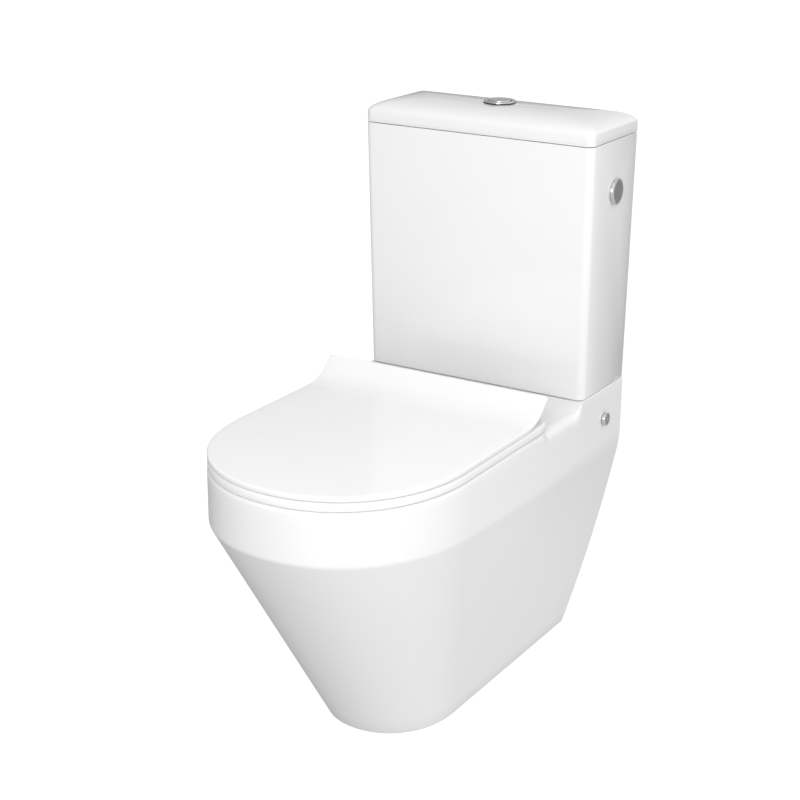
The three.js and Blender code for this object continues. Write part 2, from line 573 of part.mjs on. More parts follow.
// Each hinge: a post on the deck, its cross pin, and the stud, washer and wing nut that hold it from below.
function hinges() {
  for (const [name, side] of SIDES) {
    const unit = group(side * HINGE.x, HINGE.y, 0);
    const foot = DECK.z + GAP;
    piece(`hinge_post_${name}`, cut(
      join(
        turned([[0, foot], [13, foot], [13, foot + 3.4], [11.6, foot + 5.2], [0, foot + 5.2]], 0, 0, 20),
        box([-11, -7, foot + 4], [11, 2, HINGE.z]),
        bar('x', HINGE.knuckle, -11, 11, [0, HINGE.z])),
      bar('x', HINGE.bore, -12, 12, [0, HINGE.z], 16),
      bar('z', 4.2, foot - 1, foot + 4, [0, 0], 12)), CHROME, unit);
    piece(`hinge_pin_${name}`, bar('x', HINGE.pin, -26, 26, [0, HINGE.z], 16), STEEL, unit);
    piece(`hinge_stud_${name}`, bar('z', 3.8, 368, foot + 3.7, [0, 0], 12), STEEL, unit);
    const under = DECK.under - GAP;
    piece(`hinge_washer_${name}`, washer(4.2, 13, under - 3, under, 0, 0), RUBBER, unit);
    piece(`hinge_wing_nut_${name}`, wingNut([0, 0], under - 3 - GAP), NUT_GREY, unit);
  }
}

pan();
panFixings();
tank();
tankLid();
cisternFixings();
flushButtons();
flushValve();
fillValve();
blankingPlug();
seatRing();
seatLid();
hinges();

export default toilet;
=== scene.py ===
"""Close coupled toilet, finished for rendering: glazed china pan and cistern, slim seat and lid,
chrome fittings and the valves inside. Sizes are millimetres, X across, Y measured from the wall
(the front is negative), Z up."""
import math

import bmesh
import bpy
from mathutils import Matrix, Vector


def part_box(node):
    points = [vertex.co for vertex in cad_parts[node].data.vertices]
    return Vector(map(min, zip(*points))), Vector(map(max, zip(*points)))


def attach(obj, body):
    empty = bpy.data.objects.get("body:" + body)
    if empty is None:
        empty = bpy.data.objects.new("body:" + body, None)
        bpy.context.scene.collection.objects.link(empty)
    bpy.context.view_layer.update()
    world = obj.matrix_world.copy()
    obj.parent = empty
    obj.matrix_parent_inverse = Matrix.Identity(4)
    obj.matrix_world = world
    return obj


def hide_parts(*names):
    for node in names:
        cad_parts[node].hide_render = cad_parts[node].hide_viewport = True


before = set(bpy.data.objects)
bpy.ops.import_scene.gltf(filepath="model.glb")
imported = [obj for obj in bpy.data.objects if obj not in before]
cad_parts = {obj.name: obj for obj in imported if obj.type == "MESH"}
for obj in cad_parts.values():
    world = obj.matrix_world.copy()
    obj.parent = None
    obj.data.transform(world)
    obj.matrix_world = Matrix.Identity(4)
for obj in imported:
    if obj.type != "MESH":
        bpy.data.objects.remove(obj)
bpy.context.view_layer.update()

MM = 0.001
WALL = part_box("pan")[1].y / MM  # the wall's plane, in the frame's own Y


def place(x, y, z):
    """A point measured from the wall, in the frame."""
    return Vector((x, y + WALL, z)) * MM


def span(node):
    """A CAD node's lowest and highest corners, in millimetres from the wall."""
    low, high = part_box(node)
    shift = Vector((0, WALL, 0))
    return low / MM - shift, high / MM - shift


# ---- camera --------------------------------------------------------------------------------------
CAMERA = {"turn": 31.27, "tilt": 19.37, "roll": 0.39, "stand": (1.1739, -1.9431, 1.2468),
          "lens": 79.54, "sensor": 36}


def make_camera():
    """Stands ahead and to the right of the object, above it, looking down at it."""
    turn, tilt, roll = (math.radians(CAMERA[word]) for word in ("turn", "tilt", "roll"))
    right = Vector((math.cos(turn), math.sin(turn), 0))
    back = Vector((math.sin(turn) * math.cos(tilt), -math.cos(turn) * math.cos(tilt), math.sin(tilt)))
    up = back.cross(right)
    across = right * math.cos(roll) + up * math.sin(roll)
    upward = up * math.cos(roll) - right * math.sin(roll)
    bpy.ops.object.camera_add(location=CAMERA["stand"])
    camera = bpy.context.object
    camera.name = "camera"
    camera.rotation_mode = "QUATERNION"
    camera.rotation_quaternion = Matrix((across, upward, back)).transposed().to_quaternion()
    camera.data.lens = CAMERA["lens"]
    camera.data.sensor_width = CAMERA["sensor"]
    bpy.context.scene.camera = camera


# ---- shader maths --------------------------------------------------------------------------------
class Value:
    """A number that varies over a surface. Arithmetic on it adds Math nodes."""

    def __init__(self, paint, socket):
        self.paint = paint
        self.socket = socket

    def maths(self, operation, first, second=0.0):
        return self.paint.node("ShaderNodeMath", "Value", {"operation": operation}, {0: first, 1: second})

    def __add__(self, other):
        return self.maths("ADD", self, other)

    __radd__ = __add__

    def __sub__(self, other):
        return self.maths("SUBTRACT", self, other)

    def __rsub__(self, other):
        return self.maths("SUBTRACT", other, self)

    def __mul__(self, other):
        return self.maths("MULTIPLY", self, other)

    __rmul__ = __mul__


class Paint:
    """One procedural material, built round a Principled shader."""

    def __init__(self, name, **fixed):
        self.material = bpy.data.materials.new(name)
        self.material.use_nodes = True
        self.tree = self.material.node_tree
        self.shader = self.tree.nodes["Principled BSDF"]
        self.place = self.node("ShaderNodeTexCoord", "Object")
        for socket, value in fixed.items():
            self.shader.inputs[socket.replace("_", " ")].default_value = value

    def node(self, kind, output, settings=None, inputs=None):
        """Adds a node: its settings first, then the values or links of its sockets."""
        made = self.tree.nodes.new(kind)
        for name, value in (settings or {}).items():
            setattr(made, name, value)
        for name, value in (inputs or {}).items():
            if isinstance(value, Value):
                self.tree.links.new(value.socket, made.inputs[name])
            else:
                made.inputs[name].default_value = value
        return Value(self, made.outputs[output])

    def noise(self, scale, detail=3.0, roughness=0.5):
        """Cloudy noise from 0 to 1, its scale in clouds per metre."""
        return self.node("ShaderNodeTexNoise", "Fac", {}, {
            "Vector": self.place, "Scale": scale, "Detail": detail, "Roughness": roughness})

    def smooth(self, value, start, end):
        """0 below start, 1 above end."""
        return self.node("ShaderNodeMapRange", "Result", {"interpolation_type": "SMOOTHSTEP"}, {
            "Value": value, "From Min": start, "From Max": end})

    def blend(self, share, first, second):
        """A colour between two others."""
        return self.node("ShaderNodeMix", 2, {"data_type": "RGBA"}, {0: share, 6: first, 7: second})

    def height(self):
        return self.node("ShaderNodeSeparateXYZ", "Z", {}, {0: self.place})

    def bump(self, depth, strength, previous=None):
        inputs = {"Height": depth, "Strength": strength, "Distance": 0.001}
        if previous:
            inputs["Normal"] = previous
        return self.node("ShaderNodeBump", "Normal", {}, inputs)

    def wire(self, **sockets):
        """Joins varying values to the shader's sockets and returns the material."""
        for name, value in sockets.items():
            self.tree.links.new(value.socket, self.shader.inputs[name.replace("_", " ")])
        return self.material


def grey(level, warmth=0.0):
    return (level * (1 + warmth), level, level * (1 - warmth), 1.0)


def china_finish():
    """Clear glaze over white vitreous china; the foot's ground ring is left bare."""
    paint = Paint("glazed_china", IOR=1.5, Coat_Roughness=0.035, Coat_IOR=1.5)
    clouds = paint.noise(9, 2)
    pits = paint.noise(900, 2)
    wave = paint.noise(26, 2)
    bare = 1 - paint.smooth(paint.height(), 0.0004, 0.0016)
    glaze = paint.blend(clouds, grey(0.86, 0.002), grey(0.885, -0.001))
    color = paint.blend(bare, glaze, grey(0.72, 0.06))
    rough = 0.13 + 0.07 * clouds + 0.6 * bare
    relief = paint.bump(pits * bare, 0.6, paint.bump(wave, 0.12))
    return paint.wire(Base_Color=color, Roughness=rough, Coat_Weight=0.75 - 0.75 * bare, Normal=relief)


def seat_finish():
    """Glossy white thermoset, pressed in a polished mould."""
    paint = Paint("white_thermoset", IOR=1.52)
    swirl = paint.noise(14, 3)
    haze = paint.noise(240, 2)
    color = paint.blend(swirl, grey(0.875), grey(0.895))
    relief = paint.bump(haze, 0.03, paint.bump(swirl, 0.08))
    return paint.wire(Base_Color=color, Roughness=0.1 + 0.06 * swirl + 0.03 * haze, Normal=relief)


def metal_finish(name, dark, light, rough, grain):
    """Plated metal: faint clouds in its polish and a fine grain."""
    paint = Paint(name, Metallic=1.0)
    clouds = paint.noise(70, 3)
    scratches = paint.noise(grain, 4, 0.7)
    color = paint.blend(clouds, grey(dark), grey(light))
    return paint.wire(
        Base_Color=color, Roughness=rough + rough * clouds, Normal=paint.bump(scratches, rough * 0.6))


def moulded_finish(name, dark, light, rough, grain=700, depth=0.15):
    """Injection moulded plastic or rubber, with the fine texture of its mould."""
    paint = Paint(name)
    clouds = paint.noise(35, 3)
    texture = paint.noise(grain, 3, 0.6)
    color = paint.blend(clouds, dark, light)
    return paint.wire(
        Base_Color=color, Roughness=rough + 0.08 * texture + 0.06 * clouds, Normal=paint.bump(texture, depth))


FINISHES = {
    "china": china_finish(),
    "seat_plastic": seat_finish(),
    "chrome": metal_finish("polished_chrome", 0.55, 0.66, 0.05, 1400),
    "steel": metal_finish("zinc_plated_steel", 0.5, 0.62, 0.22, 900),
    "valve_white": moulded_finish("white_acetal", grey(0.74), grey(0.8), 0.34),
    "valve_blue": moulded_finish("blue_acetal", (0.03, 0.11, 0.3, 1), (0.04, 0.15, 0.38, 1), 0.32),
    "nut_grey": moulded_finish("grey_nylon", grey(0.24), grey(0.3), 0.42),
    "black_rubber": moulded_finish("black_rubber", grey(0.018), grey(0.03), 0.66, 500, 0.3),
    "clear_rubber": moulded_finish("pale_silicone", grey(0.62), grey(0.7), 0.38, 400),
    "gasket_foam": moulded_finish("sponge_rubber", grey(0.03), grey(0.07), 0.8, 1500, 0.9),
}


# ---- modelling -----------------------------------------------------------------------------------
def fresh():
    """Back to object mode with nothing selected."""
    if bpy.context.object and bpy.context.object.mode != "OBJECT":
        bpy.ops.object.mode_set(mode="OBJECT")
    bpy.ops.object.select_all(action="DESELECT")


def settle(name):
    """Names the new object and puts its place and size into its mesh."""
    bpy.ops.object.transform_apply(location=True, rotation=True, scale=True)
    made = bpy.context.object
    made.name = made.data.name = name
    return made


def pick(kind, wanted):
    """In edit mode, selects the vertices, edges or faces that are wanted, and nothing else."""
    bpy.ops.mesh.select_mode(type={"verts": "VERT", "edges": "EDGE", "faces": "FACE"}[kind])
    bpy.ops.mesh.select_all(action="DESELECT")
    mesh = bmesh.from_edit_mesh(bpy.context.object.data)
    for part in getattr(mesh, kind):
        part.select_set(bool(wanted(part)))
    mesh.select_flush_mode()
    bmesh.update_edit_mesh(bpy.context.object.data)


def edit(made):
    fresh()
    made.select_set(True)
    bpy.context.view_layer.objects.active = made
    bpy.ops.object.mode_set(mode="EDIT")
    bpy.ops.mesh.select_mode(type="VERT")


def tidy_mesh(doubles=0.00001):
    """In edit mode: merges what meets, drops stray edges and turns every face outward."""
    bpy.ops.mesh.select_mode(type="VERT")
    bpy.ops.mesh.select_all(action="SELECT")
    bpy.ops.mesh.remove_doubles(threshold=doubles)
    bpy.ops.mesh.delete_loose()
    bpy.ops.mesh.select_all(action="SELECT")
    bpy.ops.mesh.normals_make_consistent(inside=False)
    bpy.ops.object.mode_set(mode="OBJECT")


def modify(made, kind, **settings):
    """Adds a modifier and applies it."""
    fresh()
    made.select_set(True)
    bpy.context.view_layer.objects.active = made
    modifier = made.modifiers.new(kind.lower(), kind)
    for name, value in settings.items():
        setattr(modifier, name, value)
    bpy.ops.object.modifier_apply(modifier=modifier.name)
    return made


def soften(made, width, segments=3, angle=30):
    """Rounds every edge sharper than the angle."""
    return modify(made, "BEVEL", width=width * MM, segments=segments, limit_method="ANGLE",
                  angle_limit=math.radians(angle), harden_normals=False)


def cut(made, *tools, operation="DIFFERENCE"):
    """Cuts the tools out of a piece, or joins them to it, and throws the tools away."""
    for tool in tools:
        modify(made, "BOOLEAN", object=tool, operation=operation, solver="EXACT")
        bpy.data.objects.remove(tool)
    return made


def block(name, low, high):
    """A rectangular block between two corners."""
    low, high = place(*low), place(*high)
    fresh()
    bpy.ops.mesh.primitive_cube_add(size=1, location=(low + high) / 2)
    bpy.context.object.scale = high - low
    return settle(name)


AXES = {"X": (0, math.pi / 2, 0), "Y": (math.pi / 2, 0, 0), "Z": (0, 0, 0)}


def rod(name, axis, radius, start, end, centre, sides=48):
    """A round bar along an axis; centre gives the other two coordinates."""
    halfway = (start + end) / 2
    middle = {"X": (halfway, *centre), "Y": (centre[0], halfway, centre[1]), "Z": (*centre, halfway)}[axis]
    fresh()
    bpy.ops.mesh.primitive_cylinder_add(
        vertices=sides, radius=radius * MM, depth=(end - start) * MM,
        location=place(*middle), rotation=AXES[axis])
    return settle(name)


def turned(name, profile, centre, axis="Z", steps=64):
    """Spins an outline of (radius, distance along the axis) about an axis through the centre."""
    along = Vector((axis == "X", axis == "Y", axis == "Z"))
    out = Vector((0, 0, 1)) if axis == "X" else Vector((1, 0, 0))
    hub = place(*centre)
    points = [hub + (out * radius + along * distance) * MM for radius, distance in profile]
    fresh()
    bpy.ops.mesh.primitive_plane_add(size=MM, location=points[0])
    made = settle(name)
    edit(made)
    bpy.ops.mesh.select_all(action="SELECT")
    bpy.ops.mesh.merge(type="CENTER")
    for before, after in zip(points, points[1:]):
        bpy.ops.mesh.extrude_region_move(TRANSFORM_OT_translate={"value": after - before})
    bpy.ops.mesh.select_all(action="SELECT")
    bpy.ops.mesh.spin(steps=steps, angle=2 * math.pi, center=hub, axis=along)
    tidy_mesh()
    return made


def skin(name, rows):
    """A sheet of quads laid through rows of points, all rows of one length, in millimetres from the wall."""
    fresh()
    bpy.ops.mesh.primitive_grid_add(x_subdivisions=len(rows[0]) - 1, y_subdivisions=len(rows) - 1, size=1)
    made = settle(name)
    points = [place(*point) for row in rows for point in row]
    made.data.vertices.foreach_set("co", [number for point in points for number in point])
    edit(made)
    tidy_mesh()
    return made


def finish(made, finish_name, body, *nodes, angle=35):
    """Gives a piece its finish, lets it ride on its body and stand for its CAD nodes."""
    fresh()
    made.select_set(True)
    bpy.context.view_layer.objects.active = made
    bpy.ops.object.shade_smooth_by_angle(angle=math.radians(angle))
    made.data.materials.clear()
    made.data.materials.append(FINISHES[finish_name])
    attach(made, body)
    if nodes:
        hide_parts(*nodes)
    return made


def smoothstep(start, end, value):
    share = min(max((value - start) / (end - start), 0), 1)
    return share * share * (3 - 2 * share)


def mix(a, b, share):
    return a + (b - a) * share


def stations(*stops):
    """Numbers through (value, count) stops: count even steps lead from one value to the next."""
    found = [stops[0][0]]
    for (start, _), (end, count) in zip(stops, stops[1:]):
        found += [mix(start, end, i / count) for i in range(1, count + 1)]
    return found


# ---- outlines, shared by the pan, the seat and its lid -------------------------------------------
PAN_LOW, PAN_HIGH = span("pan")
RIM = {"half": PAN_HIGH.x, "straight": 461, "front": -PAN_LOW.y, "power": 2.13, "top": 411.4}
FOOT = {"half": 93, "straight": 340, "front": 450, "power": 2.11}
FRONT_STEPS = 44


def front_point(shape, share, inset=0.0):
    """A point on a D outline's rounded front, from its side (share 0) to its tip (share 1), moved
    inward at right angles to the outline by inset."""
    turn = share * math.pi / 2
    c, s, p = math.cos(turn), math.sin(turn), shape["power"]
    long = shape["front"] - shape["straight"]
    x, y = shape["half"] * max(c, 0) ** (2 / p), long * s ** (2 / p)
    slope = Vector(((x / shape["half"]) ** (p - 1) / shape["half"], (y / long) ** (p - 1) / long))
    slope.normalize()
    return x - slope.x * inset, -(shape["straight"] + y - slope.y * inset)


# ---- pan -----------------------------------------------------------------------------------------
DECK = {"z": 407, "under": 395, "front": -243, "rear": -150}
PLATFORM = {"z": PAN_HIGH.z, "under": 408, "front": -138}
LIP = 7  # rounding between the rim's top and the bowl
PAN_WALL = 12
BOWL_WALL = 9
SUMP_Z = 66
SUMP_INSIDE = ((0, 61), (0.3, 61), (0.65, 62), (0.9, 64))  # share of the sump's outline, height
SUMP_OUTSIDE = ((0.8, 56), (0.4, 53), (0, 53))
BOWL_JOIN = 372  # where the bowl's outside leaves the underside of the rim
BOWL_POWER = 2.3
BOWL_LEVELS = [  # from the sump up: height, half width, centre, half length
    (SUMP_Z, 28, 376, 31), (82, 38, 378, 42), (112, 44, 384, 49), (155, 56, 398, 66), (205, 76, 418, 92),
    (260, 98, 438, 118), (320, 114, 452, 140), (384, 127, 461, 156), (RIM["top"], 132, 462, 160),
]
BOWL_REAR = -(BOWL_LEVELS[-1][2] - BOWL_LEVELS[-1][3] - LIP)  # the lip's outer edge on the middle line


def bowl_size(z):
    """Half width, centre and half length of the bowl at a height, eased smoothly between its levels."""
    levels = BOWL_LEVELS
    i = max(k for k in range(len(levels) - 1) if levels[k][0] <= max(z, levels[0][0]))
    around = [levels[min(max(k, 0), len(levels) - 1)] for k in range(i - 1, i + 3)]
    share = min(max((z - around[1][0]) / (around[2][0] - around[1][0]), 0), 1)
    found = []
    for k in (1, 2, 3):
        a, b, c, d = (level[k] for level in around)
        rate_in = (c - a) / (around[2][0] - around[0][0])
        rate_out = (d - b) / (around[3][0] - around[1][0])
        step = around[2][0] - around[1][0]
        bend = (share - 1) * share * ((share - 1) * rate_in + share * rate_out) * step
        found.append(mix(b, c, share * share * (3 - 2 * share)) + bend)
    return found


def bowl_point(turn, z, grow=0.0, shrink=1.0):
    """A point on the bowl; turn is 0 at the back of the bowl and 1 at its front."""
    half, centre, long = bowl_size(z)
    angle = math.pi * (0.5 - turn)
    c, s = max(math.cos(angle), 0), math.sin(angle)
    x = (half + grow) * c ** (2 / BOWL_POWER)
    y = (long + grow) * math.copysign(abs(s) ** (2 / BOWL_POWER), s)
    return x * shrink, -centre + y * shrink, z


def top_height(y):
    """Height of the pan's top: the rim, the lower deck behind it, and the cistern's platform."""
    deck = mix(RIM["top"], DECK["z"], smoothstep(DECK["front"] - 9, DECK["front"] + 7, y))
    rise = (PLATFORM["z"] - DECK["z"]) * max(0, (y - DECK["rear"]) / (PLATFORM["front"] + 1.5 - DECK["rear"]))
    share = rise / (PLATFORM["z"] - DECK["z"])
    if share >= 1:
        return PLATFORM["z"]
    return deck + (PLATFORM["z"] - DECK["z"]) * (1 - math.sqrt(1 - share * share)) if share > 0 else deck


def edge_radius(y):
    """Rounding along the pan's top edge: small round the seat, generous on the deck, small at the cistern."""
    rim_to_deck = mix(6, 13, smoothstep(-330, -236, y))
    return mix(rim_to_deck, 1.6, smoothstep(DECK["rear"] - 8, PLATFORM["front"] + 1, y))


def under_height(y):
    deck = mix(372, DECK["under"], smoothstep(-290, -262, y))
    return mix(deck, PLATFORM["under"], smoothstep(DECK["rear"] + 4, PLATFORM["front"] + 10, y))


def pan_side(outer_y, share, bowl_top, bowl_under):
    """One line down the pan: in from the bowl or the middle, over the rim and down the skirt, then back up
    inside it. share is None on the straight side, where outer_y says how far from the wall it stands."""
    def outline(shape, inset):
        if share is not None:
            return front_point(shape, share, inset)
        return shape["half"] - inset, outer_y * shape["straight"] / RIM["straight"]

    rim_x, rim_y = outline(RIM, 0)
    along = min(max((-rim_y - 250) / 350, 0), 1)
    crease = 325.5 + 12.5 * along * along * (3 - 2 * along)
    fillet = 3.5 + 15 * (1 - min(-rim_y / RIM["straight"], 1)) ** 2
    near_wall = min(max(1 + rim_y / RIM["straight"], 0), 1)

    def skirt(z, inset=0.0):
        up = min(max(z, 0) / crease, 1)
        bulged = up + 0.24 * near_wall * up * (1 - up)
        foot_x, foot_y = outline(FOOT, inset)
        top_x, top_y = outline(RIM, inset)
        return mix(foot_x, top_x, bulged), mix(foot_y, top_y, up), z

    radius = edge_radius(rim_y)
    top = top_height(rim_y)
    points = []
    edge_x, edge_y = outline(RIM, radius)
    for i in range(9):
        x, y = mix(bowl_top[0], edge_x, i / 9), mix(bowl_top[1], edge_y, i / 9)
        points.append((x, y, top_height(y)))
    for i in range(7):
        turn = math.radians(15 * i)
        x, y = outline(RIM, radius * (1 - math.sin(turn)))
        points.append((x, y, top - radius * (1 - math.cos(turn))))
    for i in range(1, 5):
        points.append((rim_x, rim_y, mix(top - radius, crease + fillet, i / 5)))
    low = skirt(crease - fillet)
    for i in range(9):
        t = i / 8
        weights = ((1 - t) ** 2, 2 * t * (1 - t), t * t)
        high, corner = (rim_x, rim_y, crease + fillet), (rim_x, rim_y, crease)
        points.append(tuple(sum(w * p[k] for w, p in zip(weights, (high, corner, low))) for k in range(3)))
    for i in range(1, 15):
        points.append(skirt(mix(crease - fillet, 2, i / 14)))
    points.append(skirt(0.6, 0.5))
    points.append(skirt(0, 2))
    points.append(skirt(0, PAN_WALL - 1))
    points.append(skirt(1, PAN_WALL))
    under = under_height(rim_y)
    for i in range(1, 10):
        points.append(skirt(mix(1, min(under, 330) - 4, i / 9), PAN_WALL))
    inner_x, inner_y = outline(RIM, PAN_WALL)
    points.append((inner_x, inner_y, under - 6))
    for i in range(5):
        x, y = mix(inner_x, bowl_under[0], (i + 0.15) / 5), mix(inner_y, bowl_under[1], (i + 0.15) / 5)
        points.append((x, y, under))
    points.append((*bowl_under[:2], under))
    return points


def make_pan():
    """Half of the pan is laid out as two sheets, one behind the bowl and one round it, then mirrored."""
    back_stations = stations(
        (0, 0), (PLATFORM["front"] + 8, 14), (PLATFORM["front"] + 1.5, 5), (DECK["rear"], 12),
        (DECK["front"] + 8, 12), (DECK["front"] - 10, 10), (BOWL_REAR, 8))
    behind = [pan_side(y, None, (0, y), (0, y)) for y in back_stations]
    behind[-1] = pan_side(BOWL_REAR, None, (0, BOWL_REAR), bowl_point(0, BOWL_JOIN, BOWL_WALL))

    side_stations = stations((BOWL_REAR, 0), (-RIM["straight"], 18))
    outer = [(y, None) for y in side_stations] + [(None, i / FRONT_STEPS) for i in range(1, FRONT_STEPS + 1)]
    inside_heights = stations((SUMP_Z, 0), (112, 6), (205, 8), (384, 12), (RIM["top"] - LIP, 3))
    outside_heights = stations((352, 0), (205, 6), (SUMP_Z, 8))
    around = []
    for i, (y, share) in enumerate(outer):
        turn = i / (len(outer) - 1)
        sump = [bowl_point(turn, SUMP_Z, 0, shrink)[:2] + (z,) for shrink, z in SUMP_INSIDE]
        inside = [bowl_point(turn, z) for z in inside_heights]
        lip = []
        for step in range(1, 6):
            angle = math.radians(15 * step)
            x, y_lip, _ = bowl_point(turn, RIM["top"], LIP * (1 - math.cos(angle)))
            lip.append((x, y_lip, RIM["top"] - LIP * (1 - math.sin(angle))))
        over = pan_side(y, share, bowl_point(turn, RIM["top"], LIP),
                        bowl_point(turn, BOWL_JOIN, BOWL_WALL))
        outside = [bowl_point(turn, z, BOWL_WALL) for z in outside_heights]
        pole = [bowl_point(turn, SUMP_Z, BOWL_WALL, shrink)[:2] + (z,) for shrink, z in SUMP_OUTSIDE]
        around.append(sump + inside + lip + over + outside + pole)

    rear_half = skin("pan_rear", behind)
    made = skin("china_pan", around)
    fresh()
    rear_half.select_set(True)
    made.select_set(True)
    bpy.context.view_layer.objects.active = made
    bpy.ops.object.join()
    modify(made, "MIRROR", use_axis=(True, False, False), use_clip=True, merge_threshold=0.0001)
    edit(made)
    bpy.ops.mesh.select_all(action="SELECT")
    bpy.ops.mesh.remove_doubles(threshold=0.00002)
    wall = place(0, 0, 0).y
    pick("edges", lambda e: e.is_boundary and all(abs(v.co.y - wall) < 0.0002 for v in e.verts))
    bpy.ops.mesh.edge_face_add()
    tidy_mesh()
    return made


# ---- water ways in the pan -----------------------------------------------------------------------
TRAP_PATH = [(-376, 104), (-330, 98), (-288, 122), (-258, 168), (-226, 206), (-188, 219), (-152, 205),
             (-120, 184), (-84, 180)]
TRAP = {"inner": 35, "outer": 44, "spigot": 51, "z": 180, "end": -36}
FLUSH = {"y": -74, "hole": 44.5, "outlet": 30}
DUCT = {"half": 34, "low": 356, "high": 386, "wall": 10, "round": 9}  # the passage to the bowl
HOLES = {"stud": 8, "bolt": 6, "screw": 5}  # radii


def smooth_path(path, per_span=6):
    """Even steps along a smooth curve through the path's (y, z) points."""
    def between(before, a, b, after, t):
        return 0.5 * (2 * a + (b - before) * t
                      + (2 * before - 5 * a + 4 * b - after) * t * t
                      + (3 * a - before - 3 * b + after) * t ** 3)

    points = [path[0], *path, path[-1]]
    found = []
    for four in zip(points, points[1:], points[2:], points[3:]):
        for i in range(per_span):
            found.append(tuple(between(*(point[k] for point in four), i / per_span) for k in (0, 1)))
    return found + [path[-1]]


def tube(name, stops, sides=36):
    """A closed skin of round rings round a path in the middle plane; each stop is (y, z, radius, tilt)."""
    rows = []
    for y, z, radius, tilt in stops:
        row = []
        for i in range(sides + 1):
            turn = 2 * math.pi * i / sides
            across, rise = radius * math.cos(turn), radius * math.sin(turn)
            row.append((across, y - rise * math.sin(tilt), z + rise * math.cos(tilt)))
        rows.append(row)
    return skin(name, rows)


def path_stops(points, radius):
    found = []
    for i, (y, z) in enumerate(points):
        (y0, z0), (y1, z1) = points[max(i - 1, 0)], points[min(i + 1, len(points) - 1)]
        found.append((y, z, radius, math.atan2(z1 - z0, y1 - y0)))
    return found


def make_trapway():
    """The bent trap behind the bowl and its round spigot, one hollow casting."""
    run = smooth_path(TRAP_PATH)[3:]
    outer = [stop for stop in path_stops(run, TRAP["outer"]) if stop[0] < -128]
    spigot = [(-122, TRAP["z"] + 4, TRAP["spigot"], -0.1), (-112, TRAP["z"], TRAP["spigot"], 0)]
    end = TRAP["end"]
    mouth = [
        (end - 3, TRAP["z"], TRAP["spigot"], 0), (end - 1, TRAP["z"], TRAP["spigot"] - 0.6, 0),
        (end, TRAP["z"], TRAP["spigot"] - 2.4, 0), (end, TRAP["z"], TRAP["inner"] + 8, 0),
        (end - 1, TRAP["z"], TRAP["inner"] + 5, 0), (end - 6, TRAP["z"], TRAP["inner"] + 1, 0)]
    inner = path_stops(run, TRAP["inner"])[::-1]
    first = outer[0]
    return tube("pan_trapway", [*outer, *spigot, *mouth, *inner, first])


def cut_pan(made):
    """Opens the bowl into the trap and the flush way, and drills the holes for the fixings."""
    reach = smooth_path(TRAP_PATH)[:14]
    way = path_stops(reach, TRAP["inner"])
    trap = tube("trap_cutter", [(*way[0][:2], 0, way[0][3]), *way, (*way[-1][:2], 0, way[-1][3])])
    half, low, high = DUCT["half"], DUCT["low"], DUCT["high"]
    slot = soften(block("slot_cutter", (-half, -318, low), (half, FLUSH["y"], high)), DUCT["round"], 4)
    tools = [trap, slot, rod("inlet_cutter", "Z", FLUSH["hole"], 393, 440, (0, FLUSH["y"]))]
    for side in (-1, 1):
        stud, bolt = (side * HINGE["x"], HINGE["y"]), (side * CISTERN_BOLT["x"], CISTERN_BOLT["y"])
        tools.append(rod("stud_cutter", "Z", HOLES["stud"], 380, 420, stud))
        tools.append(rod("bolt_cutter", "Z", HOLES["bolt"], 390, 440, bolt))
        start, end = sorted((side * 150, side * 190))
        screw = (PAN_FIXING["y"], PAN_FIXING["z"])
        tools.append(rod("screw_cutter", "X", HOLES["screw"], start, end, screw))
    return cut(made, *tools)


def make_inlet_well():
    """The well under the cistern's outlet, with the duct that leads the flush forward to the bowl."""
    half, low, high, wall = DUCT["half"], DUCT["low"], DUCT["high"], DUCT["wall"]
    top = PLATFORM["under"] + 0.5
    mouth, throat = TRAP["inner"] + 10, TRAP["inner"] - 1
    well = turned("pan_inlet_well", [
        (0, low - wall), (50, low - wall), (54, low - wall + 4), (54, top), (mouth, top),
        (mouth, 397), (throat, 395), (throat, low), (0, low)], (0, FLUSH["y"], 0))
    duct = block("duct", (-half - wall, -300, low - wall), (half + wall, FLUSH["y"] - 40, high + 8))
    made = cut(well, duct, operation="UNION")
    passage = soften(block("passage", (-half, -305, low), (half, FLUSH["y"], high)), DUCT["round"], 4)
    return soften(cut(made, passage), 1.5, 2, 50)


# ---- cistern -------------------------------------------------------------------------------------
TANK_LOW, TANK_HIGH = span("cistern_tank")
TANK = {"wall": 9, "floor": 12, "corner": 11, "rear_corner": 2, "inner_corner": 9,
        "half_bottom": 175.4, "deep_bottom": 134.5, "half_top": TANK_HIGH.x, "deep_top": -TANK_LOW.y}
TANK_EDGES = {"floor": 6, "top": 0.5, "bottom": 0.6}  # rounding of its level edges
CISTERN_BOLT = {"x": 85, "y": -66}
PAN_FIXING = {"y": -59, "z": 373}
INLET = {"y": -64, "z": 710, "hole": 12}
HINGE = {"x": 78, "y": -214, "z": 432, "knuckle": 7.5, "bore": 3.4}
SEAT_ARM = (52, 66, (-240, 416, -214, 424))  # faces, then the web's low and high Y and Z
LID_ARM = (90, 104, (-222, 432, -208, 444))


